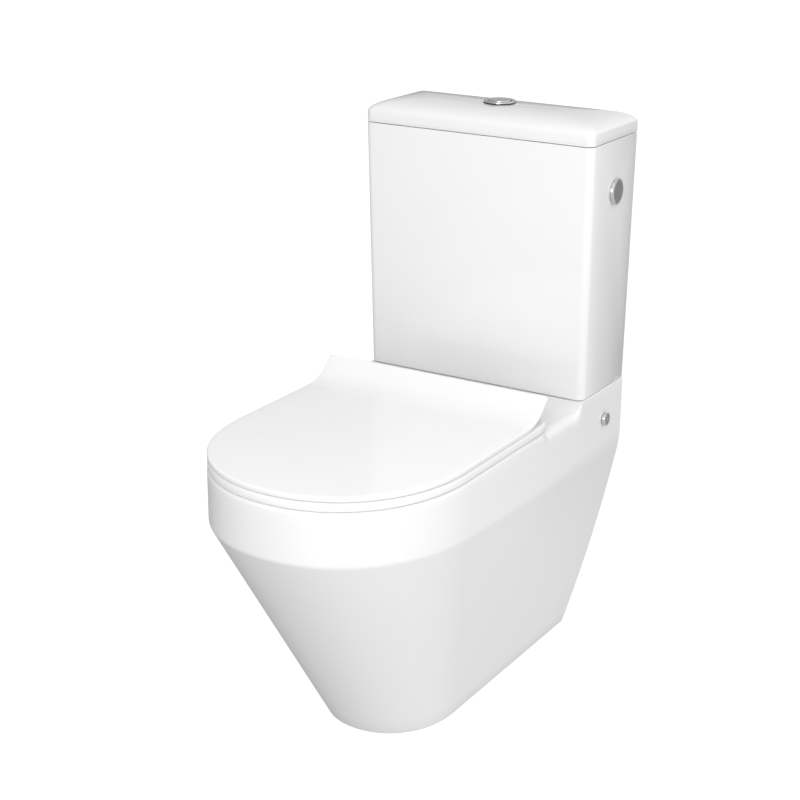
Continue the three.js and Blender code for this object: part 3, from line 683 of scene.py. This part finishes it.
def make_tank():
    """A tapering box with rounded corners, hollowed out from the top."""
    made = block("china_cistern", (-TANK["half_bottom"], -TANK["deep_bottom"], TANK_LOW.z),
                 (TANK["half_bottom"], 0, TANK_HIGH.z))
    edit(made)
    top, floor, bottom = TANK_HIGH.z * MM, (TANK_LOW.z + TANK["floor"]) * MM, TANK_LOW.z * MM
    pick("faces", lambda f: f.normal.z > 0.9)
    wide, deep = TANK["half_top"] / TANK["half_bottom"], TANK["deep_top"] / TANK["deep_bottom"]
    bpy.ops.transform.resize(value=(wide, deep, 1), center_override=place(0, 0, TANK_HIGH.z))
    bpy.ops.mesh.inset(thickness=TANK["wall"] * MM)
    bpy.ops.mesh.extrude_region_move(TRANSFORM_OT_translate={"value": (0, 0, floor - top)})
    bpy.ops.transform.resize(value=(0.975, 0.94, 1))

    def upright(edge, from_bottom):
        heights = sorted(v.co.z for v in edge.verts)
        return heights[1] - heights[0] > 0.1 and (heights[0] < bottom + 0.001) == from_bottom

    middle = place(0, -TANK["deep_bottom"] / 2, 0).y
    pick("edges", lambda e: upright(e, True) and e.verts[0].co.y < middle)
    bpy.ops.mesh.bevel(offset=TANK["corner"] * MM, segments=8, affect="EDGES")
    pick("edges", lambda e: upright(e, True) and e.verts[0].co.y > place(0, -1, 0).y)
    bpy.ops.mesh.bevel(offset=TANK["rear_corner"] * MM, segments=2, affect="EDGES")
    pick("edges", lambda e: upright(e, False))
    bpy.ops.mesh.bevel(offset=TANK["inner_corner"] * MM, segments=6, affect="EDGES")
    for height, word in ((floor, "floor"), (top, "top"), (bottom, "bottom")):
        pick("edges", lambda e: all(abs(v.co.z - height) < 0.0002 for v in e.verts))
        bpy.ops.mesh.bevel(offset=TANK_EDGES[word] * MM, segments=4, affect="EDGES")
    tidy_mesh(0.000001)
    holes = [rod("outlet", "Z", FLUSH["outlet"], 400, 450, (0, FLUSH["y"]))]
    holes.append(rod("inlets", "X", INLET["hole"], -190, 190, (INLET["y"], INLET["z"])))
    for side in (-1, 1):
        bolt = (side * CISTERN_BOLT["x"], CISTERN_BOLT["y"])
        holes.append(rod("bolt_hole", "Z", HOLES["bolt"], 400, 450, bolt))
    return cut(made, *holes)


COVER = {"bottom": TANK_HIGH.z + 0.8, "top": span("cistern_lid")[1].z, "side": 14.6, "wall": 9,
         "run": 72, "curve": 3.4}
COVER_SWEEP = 26  # rows from the top of the upright side to the highest line
BUTTON_HOLE = 19


def rounded_ring(half, deep, z, corner, inset=0.0, steps=8):
    """A level rectangle on the wall as a closed ring of points: rounded in front, nearly sharp at
    the rear."""
    w, front, back = half - inset, -(deep - inset), -inset
    rear = min(TANK["rear_corner"], w, (back - front) / 3)
    r = min(max(corner - inset * 0.6, 1.5), w, back - front - rear)
    corners = [(w - rear, back - rear, rear, 0), (-w + rear, back - rear, rear, 90),
               (-w + r, front + r, r, 180), (w - r, front + r, r, 270)]
    ring = []
    for x, y, radius, start in corners:
        for i in range(steps + 1):
            turn = math.radians(start + 90 * i / steps)
            ring.append((x + radius * math.cos(turn), y + radius * math.sin(turn), z))
    return ring + ring[:1]


def make_cistern_lid():
    """A cover with upright sides that curves over in one sweep to its highest line, hollow below,
    with a lip that drops inside the tank."""
    bottom, top, wall, run = COVER["bottom"], COVER["top"], COVER["wall"], COVER["run"]
    shoulder = bottom + COVER["side"]

    def level(z, inset):
        corner = TANK["corner"] + inset * 1.1
        return rounded_ring(TANK["half_top"], TANK["deep_top"], z, corner, inset)

    def crowned(ring, share):
        """Lets the top fall away towards its ends and its rear, as far as the sweep has risen."""
        return [(x, y, z - share * (3.2 * abs(x / TANK["half_top"]) ** 3 + 1.5 * max(0, 1 + y / run) ** 2))
                for x, y, z in ring]

    rows = [level(bottom, 1.4), level(bottom + 0.4, 0.45), level(bottom + 1.2, 0), level(shoulder - 6, 0),
            level(shoulder, 0)]
    for i in range(1, COVER_SWEEP):
        inset = run * (i / COVER_SWEEP) ** 2
        rise = math.sqrt(1 - (1 - inset / run) ** COVER["curve"])
        rows.append(crowned(level(shoulder + (top - shoulder) * rise, inset), rise))
    middle_y = -TANK["deep_top"] / 2
    rows.append([(x * 0.4, mix(middle_y, y, 0.3), mix(z, top, 0.8)) for x, y, z in rows[-1]])
    rows.append([(0, middle_y, top)] * len(rows[0]))
    inside = [
        [(0, middle_y, top - wall)] * len(rows[0]), level(top - wall, wall + 22),
        level(top - wall - 4, wall + 8), level(shoulder, wall + 7), level(bottom - 6, wall + 6.5),
        level(bottom - 8, wall + 5.5), level(bottom - 8, wall + 3), level(bottom - 6.5, wall + 2.2),
        level(bottom, wall + 2), level(bottom, 4)]
    made = skin("china_cistern_lid", rows + inside + rows[:1])
    return cut(made, rod("button_hole", "Z", BUTTON_HOLE, 780, 840, (0, FLUSH["y"])))


# ---- seat and lid --------------------------------------------------------------------------------
SEAT = {"bottom": span("seat_ring")[0].z, "top": 424, "rear": -232, "hole": (112, 455, 133),
        "corner": 14, "edge": 5}
SEAT_STEPS = 160  # lines across the ring, all the way round
LID_Z = {"bottom": 426, "top": 432, "crest_y": -244, "crest_z": span("seat_lid")[1].z, "tail_y": -201.5,
         "slope": 0.466, "taper": 0.62, "thick": 4.8}


def seat_edge(angle):
    """Where a line from the middle of the seat's opening leaves its outline, at an angle in plan."""
    c, s = math.cos(angle), math.sin(angle)
    near, far = 50.0, 400.0
    for _ in range(40):
        reach = (near + far) / 2
        x, y = abs(reach * c), -SEAT["hole"][1] + reach * s
        half = RIM["half"] - 0.4
        if y < -RIM["straight"]:
            ahead = (-y - RIM["straight"]) / (RIM["front"] - 0.4 - RIM["straight"])
            inside = (x / half) ** RIM["power"] + ahead ** RIM["power"] < 1
        else:
            over = max(0, y - (SEAT["rear"] - SEAT["corner"]))
            half -= SEAT["corner"] - math.sqrt(max(SEAT["corner"] ** 2 - over ** 2, 0))
            inside = x < half and y < SEAT["rear"]
        near, far = (reach, far) if inside else (near, reach)
    return near


def make_seat_ring():
    """A slim ring: flat below, slightly crowned above, its inner edge rolled over."""
    low, high = SEAT["bottom"], SEAT["top"]
    half, centre, long = SEAT["hole"]
    rows = []
    for i in range(SEAT_STEPS + 1):
        angle = 2 * math.pi * i / SEAT_STEPS + 0.0001
        c, s = math.cos(angle), math.sin(angle)
        outer = seat_edge(angle)
        inner = ((abs(c) / half) ** 2.2 + (abs(s) / long) ** 2.2) ** (-1 / 2.2)
        section = [(inner + 7, low), (inner + 2.5, low + 0.6), (inner + 0.6, low + 2.2), (inner, low + 4.5)]
        section += [(inner, high - 5), (inner + 0.7, high - 2.6), (inner + 2.4, high - 0.9),
                    (inner + 5, high - 0.2)]
        section += [(mix(inner, outer, share), high) for share in (0.3, 0.5, 0.7)]
        for step in range(8):
            turn = math.radians(90 * step / 7)
            section.append((outer - SEAT["edge"] * (1 - math.sin(turn)),
                            high - SEAT["edge"] * (1 - math.cos(turn))))
        section += [(outer, low + 2), (outer - 0.3, low + 0.3), (outer - 1.2, low - 0.5),
                    (outer - 4, low - 0.5), (outer - 6, low)]
        section.append(section[0])
        rows.append([(c * reach, -centre + s * reach, z) for reach, z in section])
    return skin("seat", rows)


def lid_over(y):
    """Height of the lid's upper side: flat over the seat, swept up to the crest, then down over
    the hinges."""
    if y > LID_Z["crest_y"]:
        return LID_Z["crest_z"] - (y - LID_Z["crest_y"]) * LID_Z["slope"]
    knots = [(-304, 432), (-290, 433.3), (-278, 436.2), (-268, 441), (-259.5, 447.6), (-252, 454.6),
             (LID_Z["crest_y"], LID_Z["crest_z"] + 0.8)]
    return curve_through(knots, y, LID_Z["top"])


def lid_under(y):
    """Height of the lid's lower side, which follows the upper one."""
    knots = [(-304, 426), (-290, 427.3), (-276, 430.6), (-264, 436.4), (-254, 444.2), (-247, 451.4),
             (-240, 454)]
    if y > -240:
        return LID_Z["crest_z"] - (y - LID_Z["crest_y"]) * LID_Z["slope"] - LID_Z["thick"]
    return curve_through(knots, y, LID_Z["bottom"])


def curve_through(knots, y, before):
    """A smooth curve through (y, z) knots; before is its height ahead of the first one."""
    if y <= knots[0][0]:
        return before
    i = min(max(k for k in range(len(knots) - 1) if knots[k][0] <= y), len(knots) - 2)
    (y0, z0), (y1, z1) = knots[i], knots[i + 1]

    def rate(k):
        if k == 0:
            return 0.0
        after = min(k + 1, len(knots) - 1)
        return (knots[after][1] - knots[k - 1][1]) / (knots[after][0] - knots[k - 1][0])

    t = min((y - y0) / (y1 - y0), 1)
    step = y1 - y0
    return ((2 * t ** 3 - 3 * t * t + 1) * z0 + (t ** 3 - 2 * t * t + t) * step * rate(i)
            + (3 * t * t - 2 * t ** 3) * z1 + (t ** 3 - t * t) * step * rate(i + 1))


EDGE_DROP = 1.3  # how far the lid's edge turns down towards the ring, ahead of the sweep


def make_seat_lid():
    """One thin plate laid out in lines across it, each wrapped round the edge from the upper side
    to the lower."""
    half = RIM["half"] - 0.2
    tail_stations = stations(
        (LID_Z["tail_y"], 0), (-214, 4), (-236, 8), (LID_Z["crest_y"] + 0.6, 8))
    flat_stations = stations(
        (LID_Z["crest_y"] - 0.6, 0), (-256, 10), (-306, 22), (-RIM["straight"], 14))

    def edge(index, inset):
        if index < len(tail_stations):
            y = tail_stations[index]
            return half - inset - (y - LID_Z["crest_y"]) * LID_Z["taper"], y
        if index < len(tail_stations) + len(flat_stations):
            y = flat_stations[index - len(tail_stations)]
            corner = 5 - math.sqrt(max(25 - max(0, y - LID_Z["crest_y"] + 5) ** 2, 0))
            return half - inset - corner * 0.4, y
        share = (index - len(tail_stations) - len(flat_stations) + 1) / FRONT_STEPS
        return front_point(dict(RIM, half=half, front=RIM["front"] - 0.2), share, inset)

    count = len(tail_stations) + len(flat_stations) + FRONT_STEPS
    upper, lower = 2.4, 1.9  # rounding of the two edges
    rows = []
    for index in range(count):
        inner_x, inner_y = edge(index, upper)
        row = [(inner_x * share, inner_y, lid_over(inner_y)) for share in (0, 0.25, 0.5, 0.75, 0.92)]
        for step in range(7):
            turn = math.radians(15 * step)
            x, y = edge(index, upper * (1 - math.sin(turn)))
            row.append((x, y, lid_over(y) - upper * (1 - math.cos(turn))))
        drop = EDGE_DROP if index >= len(tail_stations) + 20 else 0
        for step in range(5):
            turn = math.radians(22.5 * step)
            x, y = edge(index, lower * (1 - math.cos(turn)))
            row.append((x, y, lid_under(y) + lower * (1 - math.sin(turn)) - drop))
        x, y = edge(index, lower + 3)
        row.append((x, y, lid_under(y) - drop))
        under_x, under_y = edge(index, lower + 6)
        row += [(under_x * share, under_y, lid_under(under_y)) for share in (1, 0.92, 0.75, 0.5, 0.25, 0)]
        rows.append(row)
    made = skin("seat_lid_plate", rows)
    modify(made, "MIRROR", use_axis=(True, False, False), use_clip=True, merge_threshold=0.0001)
    edit(made)
    bpy.ops.mesh.select_all(action="SELECT")
    bpy.ops.mesh.remove_doubles(threshold=0.00001)
    pick("edges", lambda e: e.is_boundary)
    bpy.ops.mesh.edge_face_add()
    tidy_mesh()
    return made


def make_hinge_arms(name, x0, x1, web_box):
    """The moulded arms that carry a seat or lid on its hinge pins: a knuckle bored for the pin, and
    its web. x0 and x1 are the arm's two faces, measured from the middle."""
    arms = []
    for side, word in ((-1, "left"), (1, "right")):
        low, high = sorted((side * x0, side * x1))
        knuckle = rod(f"{name}_{word}", "X", HINGE["knuckle"], low, high, (HINGE["y"], HINGE["z"]))
        web = block("web", (low, web_box[0], web_box[1]), (high, web_box[2], web_box[3]))
        made = cut(knuckle, web, operation="UNION")
        cut(made, rod("bore", "X", HINGE["bore"], low - 1, high + 1, (HINGE["y"], HINGE["z"])))
        arms.append(soften(made, 1.2, 3, 40))
    return arms


# ---- chrome --------------------------------------------------------------------------------------
def rounded_rim(radius, face, edge, steps=5):
    """The rounded front edge of a disc, from its side to its face, as (radius, distance) points."""
    turns = [math.radians(90 * i / steps) for i in range(steps + 1)]
    return [(radius - edge * (1 - math.cos(turn)), face - edge * (1 - math.sin(turn))) for turn in turns]


def make_plug():
    """A flat chrome disc with a rolled rim and a fine groove inside it, on a shank through the
    cistern's wall."""
    low, high = span("blanking_plug")
    face, radius = high.x, (high.z - low.z) / 2
    seat = face - 4.1
    shank, edge = 9.5, 1.1
    profile = [(0, low.x), (shank - 0.5, low.x), (shank, low.x + 0.5), (shank, seat), (radius - 0.6, seat),
               (radius, seat + 0.6), *rounded_rim(radius, face, edge)]
    profile += [(radius - 1.5, face - 0.15), (radius - 1.8, face - 0.4), (radius - 2.1, face - 0.15),
                (radius - 2.5, face - 0.05), (radius - 6, face - 0.02), (0, face)]
    return turned("plug_disc", profile, (0, INLET["y"], INLET["z"]), "X", 96)


def make_screw_cap(side):
    """A small flat-faced cap, hollow behind, over the head of the pan's fixing screw."""
    low, high = span("pan_screw_cap_right")
    radius, face = (high.z - low.z) / 2, high.x
    hollow, floor = 8, face - 1.1
    profile = [(hollow, floor), (hollow, low.x), (radius - 0.3, low.x), (radius, low.x + 0.3),
               *rounded_rim(radius, face, 0.9), (radius - 3, face), (0, face), (0, floor),
               (hollow, floor)]
    if side < 0:
        profile = [(radius, -x) for radius, x in profile]
    name = "screw_cap_right" if side > 0 else "screw_cap_left"
    return turned(name, profile, (0, PAN_FIXING["y"], PAN_FIXING["z"]), "X", 72)


STEM_X = {"full": 7, "half": -9.5}  # where the two halves of the push button carry their rods


def make_bezel():
    """The push button's ring: a threaded cup with a low rolled flange on the cistern's lid."""
    low, high = span("button_bezel")
    seat = COVER["top"] + 1
    cup, flange, roll, floor = 18.3, 23, 2.4, low.z + 2
    profile = [(0, low.z), (cup - 0.5, low.z), (cup, low.z + 0.5), (cup, seat), (flange - 0.3, seat),
               (flange, seat + 0.3)]
    for degrees in range(15, 91, 15):
        turn = math.radians(degrees)
        profile.append((flange - roll * (1 - math.cos(turn)), mix(seat + 0.3, high.z, math.sin(turn))))
    profile += [(18.4, high.z), (17.3, high.z - 0.25), (16.8, high.z - 0.9), (16.7, floor), (0, floor)]
    made = turned("button_ring", profile, (0, FLUSH["y"], 0), "Z", 96)
    for x in STEM_X.values():
        cut(made, rod("rod_hole", "Z", 3, low.z - 1, low.z + 3, (x, FLUSH["y"]), 24))
    return made


def make_button_gasket():
    """The black washer squeezed between the push button's ring and the cistern's lid."""
    inner, outer = 19.2, 22.8
    low, high = COVER["top"] - 0.7, COVER["top"] + 0.9
    return turned("button_gasket", [
        (inner, low), (outer - 0.3, low), (outer, low + 0.4), (outer, high - 0.3), (outer - 0.3, high),
        (inner, high), (inner, low)], (0, FLUSH["y"], 0), "Z", 64)


BUTTON = {"r": 15.8, "bottom": 816.3, "top": 822.3, "split": -3, "kerf": 0.35}


def make_button(word, side):
    """Half of the round push button, dished a little on top, with the rod that presses the valve.
    side is 1 for the right-hand part and -1 for the left-hand one."""
    r, low, high = BUTTON["r"], BUTTON["bottom"], BUTTON["top"]
    dish = [(r - 1.6, high), (r - 3.2, high - 0.15), (r * 0.55, high - 0.75), (r * 0.25, high - 0.95),
            (0, high - 1)]
    profile = [(0, low), (r - 0.4, low), (r, low + 0.4), (r, high - 1.4), (r - 0.25, high - 0.7),
               (r - 0.8, high - 0.2), *dish]
    made = turned(f"{word}_flush_button_top", profile, (0, FLUSH["y"], 0), "Z", 96)
    edit(made)
    bpy.ops.mesh.select_all(action="SELECT")
    bpy.ops.mesh.bisect(plane_co=place(BUTTON["split"] + side * BUTTON["kerf"], 0, 0),
                        plane_no=(side, 0, 0), use_fill=True, clear_inner=True)
    tidy_mesh()
    soften(made, 0.35, 2, 60)
    stem_low = span(f"{word}_flush_button")[0].z
    stem = rod("stem", "Z", 2.5, stem_low, low + 0.5, (STEM_X[word], FLUSH["y"]), 24)
    return cut(made, soften(stem, 0.4, 2), operation="UNION")


def make_hinge_post(side, word):
    """A chromed foot on the deck with a rounded post that carries the cross pin."""
    x, y, z = side * HINGE["x"], HINGE["y"], HINGE["z"]
    foot = DECK["z"] + 0.3
    base = turned(f"hinge_post_{word}_body", [
        (0, foot), (12.6, foot), (13, foot + 0.4), (13, foot + 3), (12.4, foot + 4.4),
        (11, foot + 5.2), (0, foot + 5.2)], (x, y, 0), "Z", 64)
    neck = block("neck", (x - 11, y - 7, foot + 4), (x + 11, y + 2, z))
    knuckle = rod("knuckle", "X", HINGE["knuckle"], x - 11, x + 11, (y, z))
    made = cut(base, neck, knuckle, operation="UNION")
    cut(made, rod("bore", "X", HINGE["bore"], x - 12, x + 12, (y, z), 32))
    return soften(made, 0.7, 3, 40)


# ---- studio --------------------------------------------------------------------------------------
def make_floor():
    """A plain pale floor."""
    fresh()
    bpy.ops.mesh.primitive_plane_add(size=30, location=(0, 0, 0))
    floor = settle("studio_floor")
    paint = Paint("pale_floor", Roughness=0.9, Specular_IOR_Level=0.0, Emission_Strength=0.84)
    paint.shader.inputs["Base Color"].default_value = grey(0.3)
    paint.shader.inputs["Emission Color"].default_value = grey(1.0)
    floor.data.materials.append(paint.material)
    floor.visible_diffuse = floor.visible_glossy = False  # light from below comes from the world


GLOW = {  # the world's light: a direction from start to end, brightness from low to high
    "across": (-0.9, 0.9, 0.68, 1.32),
    "height": (-0.7, 0.4, 0.64, 0.78),
    "rear": (0.8, 0.88, 1.0, 0.42),
    "rear_height": (-0.05, 0.2, 0.0, 1.0),
}
LIGHTS = (  # name, where it stands, what it faces, size in metres, watts
    ("front_light", (0.5, -1.4, 1.2), (0, 0, 0.5), 0.8, 10),
    ("top_light", (0.6, -0.9, 2.6), (0, 0, 0.4), 1.6, 6),
)


def make_world():
    """White all round for the camera. As light it is bright above, dimmer below and to the left,
    and darkest low behind the object, where the room's far wall would be."""
    world = bpy.data.worlds.new("studio")
    bpy.context.scene.world = world
    world.use_nodes = True
    nodes, links = world.node_tree.nodes, world.node_tree.links
    facing = nodes.new("ShaderNodeSeparateXYZ")
    links.new(nodes.new("ShaderNodeTexCoord").outputs["Generated"], facing.inputs[0])

    def ramp(axis, start, end, low, high):
        """Brightness that runs from low to high as a direction's axis goes from start to end."""
        made = nodes.new("ShaderNodeMapRange")
        made.interpolation_type = "SMOOTHSTEP"
        links.new(facing.outputs[axis], made.inputs["Value"])
        settings = {"From Min": start, "From Max": end, "To Min": low, "To Max": high}
        for socket, value in settings.items():
            made.inputs[socket].default_value = value
        return made.outputs["Result"]

    def maths(operation, first, second):
        made = nodes.new("ShaderNodeMath")
        made.operation = operation
        links.new(first, made.inputs[0])
        links.new(second, made.inputs[1])
        return made.outputs[0]

    across = ramp("X", *GLOW["across"])
    behind = maths("MAXIMUM", ramp("Y", *GLOW["rear"]), ramp("Z", *GLOW["rear_height"]))
    light = maths("MULTIPLY", maths("MULTIPLY", ramp("Z", *GLOW["height"]), across), behind)
    seen = nodes.new("ShaderNodeMix")
    links.new(nodes.new("ShaderNodeLightPath").outputs["Is Camera Ray"], seen.inputs[0])
    links.new(light, seen.inputs[2])
    seen.inputs[3].default_value = 1.0
    links.new(seen.outputs[0], nodes["Background"].inputs["Strength"])
    nodes["Background"].inputs["Color"].default_value = grey(1.0)


def make_lights():
    """A large soft light ahead and above, a little to the right, and a weaker one overhead."""
    for name, stand, aim, size, power in LIGHTS:
        bpy.ops.object.light_add(type="AREA", location=stand)
        light = bpy.context.object
        light.name = name
        light.rotation_mode = "QUATERNION"
        light.rotation_quaternion = (Vector(aim) - Vector(stand)).to_track_quat("-Z", "Y")
        light.data.size = size
        light.data.energy = power
        light.visible_camera = False
    bpy.context.scene.view_settings.view_transform = "Standard"


# ---- everything in its place ---------------------------------------------------------------------
# The pieces kept from the CAD, by how their names start. A later line wins: the float arm's pin is
# first given the arm's finish and then steel.
KEPT_FINISHES = {
    "valve_white": ("flush_valve_body", "fill_valve_body", "discharge_tube", "float_arm"),
    "steel": ("wall_bracket", "pan_screw_left", "pan_screw_right", "cistern_bolt_left",
              "cistern_bolt_right", "float_arm_pin", "hinge_pin", "hinge_stud",
              "full_button_spring", "half_button_spring"),
    "valve_blue": ("fill_valve_cap", "overflow_tube", "fill_float", "full_flush_plunger",
                   "half_flush_plunger"),
    "nut_grey": ("cistern_wing_nut", "flush_valve_nut", "inlet_nut", "blanking_nut",
                 "hinge_wing_nut", "button_nut"),
    "black_rubber": ("cistern_bolt_seal", "platform_washer", "flush_valve_washer", "inlet_washer",
                     "blanking_washer", "hinge_washer"),
    "clear_rubber": ("flush_seal", "seat_bumper", "lid_bumper"),
    "gasket_foam": ("coupling_gasket",),
}

make_camera()
make_world()
make_lights()
make_floor()

for finish_name, starts in KEPT_FINISHES.items():
    for node_name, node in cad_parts.items():
        if node_name.startswith(starts):
            node.data.materials.clear()
            node.data.materials.append(FINISHES[finish_name])

finish(cut_pan(make_pan()), "china", "base", "pan")
finish(make_trapway(), "china", "base", "pan")
finish(make_inlet_well(), "china", "base", "pan")
finish(make_tank(), "china", "base", "cistern_tank")
finish(make_cistern_lid(), "china", "cistern_cover", "cistern_lid")
finish(make_seat_ring(), "seat_plastic", "seat", "seat_ring")
finish(make_seat_lid(), "seat_plastic", "lid", "seat_lid")
for arm in make_hinge_arms("seat_arm", *SEAT_ARM):
    finish(arm, "seat_plastic", "seat", "seat_ring")
for arm in make_hinge_arms("lid_arm", *LID_ARM):
    finish(arm, "seat_plastic", "lid", "seat_lid")
finish(make_plug(), "chrome", "base", "blanking_plug")
for side, word in ((-1, "left"), (1, "right")):
    finish(make_screw_cap(side), "chrome", "base", f"pan_screw_cap_{word}")
    finish(make_hinge_post(side, word), "chrome", "base", f"hinge_post_{word}")
finish(make_bezel(), "chrome", "cistern_cover", "button_bezel")
finish(make_button_gasket(), "black_rubber", "cistern_cover")
finish(make_button("full", 1), "chrome", "full_button", "full_flush_button")
finish(make_button("half", -1), "chrome", "half_button", "half_flush_button")

fresh()
